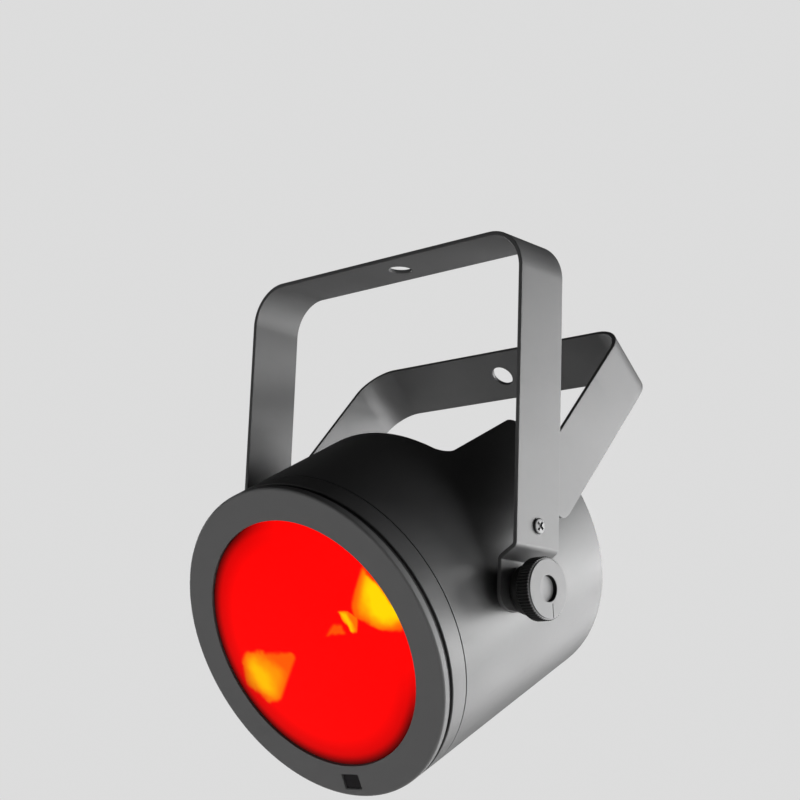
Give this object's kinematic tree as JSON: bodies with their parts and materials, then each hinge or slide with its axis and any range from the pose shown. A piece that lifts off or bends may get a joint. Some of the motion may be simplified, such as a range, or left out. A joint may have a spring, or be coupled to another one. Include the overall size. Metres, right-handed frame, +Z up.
{
  "type": "par can light",
  "caption": "Round stage light can with a red-lit lens, tilting in a clamp-knob yoke, with a second bracket that swings out as a floor stand.",
  "frame": {"origin": "centre of the clamp hole, on the outer face of the yoke's top strap, which is the point it hangs from", "axes": "+Z up out of the top strap, -Y the way the light points, +X along the tilt axis; the can hangs below the origin with its front 29.2 degrees below the horizontal"},
  "size_m": [0.2198, 0.2102, 0.2916],
  "materials": {
    "aluminium": "plain",
    "bezel_paint": "matte dark grey paint",
    "black_plastic": "moulded",
    "board": "green circuit board",
    "button_plastic": "moulded",
    "can_paint": "satin black paint",
    "dark_steel": "dark plated",
    "emitter": "phosphor yellow",
    "knob_plastic": "moulded",
    "lens_red": "clear lens lit red from behind",
    "reflector": "polished",
    "rubber": "matte",
    "steel": "zinc plated",
    "window": "dark tinted",
    "yoke_paint": "satin black paint"
  },
  "bodies": {
    "yoke": {"yoke_bracket": "yoke_paint", "pivot_screw_right": "steel", "pivot_screw_left": "steel", "friction_washer_right": "black_plastic", "friction_washer_left": "black_plastic", "lock_nut_right": "steel", "lock_nut_left": "steel"},
    "can": {"bezel_gasket": "rubber", "can_shell": "can_paint", "clamp_spacer_left": "rubber", "clamp_spacer_right": "rubber", "control_board": "board", "data_input": "dark_steel", "data_output": "dark_steel", "data_port": "steel", "display_frame": "black_plastic", "display_module": "black_plastic", "display_window": "window", "driver_board": "board", "engine_plate": "aluminium", "fan_frame": "black_plastic", "front_bezel": "bezel_paint", "front_collar": "can_paint", "front_lens": "lens_red", "fuse": "window", "fuse_holder": "black_plastic", "heat_sink": "aluminium", "ir_window": "window", "led_board": "aluminium", "led_emitter": "emitter", "led_lead": "rubber", "lens_seal": "rubber", "mains_inlet": "black_plastic", "mains_outlet": "black_plastic", "panel_ring": "aluminium", "panel_screw_1": "steel", "panel_screw_2": "steel", "panel_screw_3": "steel", "panel_screw_4": "steel", "pivot_boss_left": "steel", "pivot_boss_right": "steel", "rear_panel": "can_paint", "reflector": "reflector", "reflector_holder": "black_plastic", "safety_eye": "steel", "transformer": "black_plastic"},
    "floor_bracket": {"floor_bracket": "yoke_paint"},
    "clamp_right": {"clamp_washer_right": "steel"},
    "clamp_left": {"clamp_washer_left": "steel"},
    "knob_right": {"knob_right": "knob_plastic", "knob_stud_right": "steel"},
    "knob_left": {"knob_left": "knob_plastic", "knob_stud_left": "steel"},
    "button_menu": {"button_menu": "button_plastic"},
    "button_down": {"button_down": "button_plastic"},
    "button_up": {"button_up": "button_plastic"},
    "button_enter": {"button_enter": "button_plastic"},
    "release_tab": {"data_release_tab": "steel"},
    "fuse_cap": {"fuse_cap": "black_plastic"},
    "fan_rotor": {"fan_rotor": "black_plastic"}
  },
  "joints": [
    {"name": "can_tilt", "type": "hinge", "parent": "yoke", "child": "can", "pos_m": [0, 0, -0.1875], "axis": [1, 0, 0], "range_deg": [-119.2, 60.8]},
    {"name": "floor_bracket_swing", "type": "hinge", "parent": "yoke", "child": "floor_bracket", "pos_m": [0, 0, -0.1557], "axis": [1, 0, 0], "range_deg": [-40.2, 119.8]},
    {"name": "clamp_travel_right", "type": "slide", "parent": "can", "child": "clamp_right", "axis": [1, 0, 0], "range_m": [0, 0.0025]},
    {"name": "knob_turn_right", "type": "hinge", "parent": "clamp_right", "child": "knob_right", "pos_m": [0.1, 0, -0.1875], "axis": [1, 0, 0], "range_deg": [0, 720]},
    {"name": "clamp_travel_left", "type": "slide", "parent": "can", "child": "clamp_left", "axis": [-1, 0, 0], "range_m": [0, 0.0025]},
    {"name": "knob_turn_left", "type": "hinge", "parent": "clamp_left", "child": "knob_left", "pos_m": [-0.1, 0, -0.1875], "axis": [-1, 0, 0], "range_deg": [0, 720]},
    {"name": "press_menu", "type": "slide", "parent": "can", "child": "button_menu", "axis": [0, -0.8729, -0.4879], "range_m": [0, 0.0008], "stiffness_N_per_m": 1500},
    {"name": "press_down", "type": "slide", "parent": "can", "child": "button_down", "axis": [0, -0.8729, -0.4879], "range_m": [0, 0.0008], "stiffness_N_per_m": 1500},
    {"name": "press_up", "type": "slide", "parent": "can", "child": "button_up", "axis": [0, -0.8729, -0.4879], "range_m": [0, 0.0008], "stiffness_N_per_m": 1500},
    {"name": "press_enter", "type": "slide", "parent": "can", "child": "button_enter", "axis": [0, -0.8729, -0.4879], "range_m": [0, 0.0008], "stiffness_N_per_m": 1500},
    {"name": "press_release_tab", "type": "slide", "parent": "can", "child": "release_tab", "axis": [0, -0.8729, -0.4879], "range_m": [0, 0.0015], "stiffness_N_per_m": 800},
    {"name": "fuse_cap_turn", "type": "hinge", "parent": "can", "child": "fuse_cap", "pos_m": [0, 0.04817, -0.22244], "axis": [0, 0.8729, 0.4879], "range_deg": [0, 90]},
    {"name": "fan_spin", "type": "hinge", "parent": "can", "child": "fan_rotor", "pos_m": [0, 0.00339, -0.18332], "axis": [0, 0.8729, 0.4879], "continuous": true}
  ],
  "couplings": [
    {"joint": "clamp_travel_right", "follows": "knob_turn_right", "m_per_rad": 0.00019894},
    {"joint": "clamp_travel_left", "follows": "knob_turn_left", "m_per_rad": 0.00019894}
  ]
}
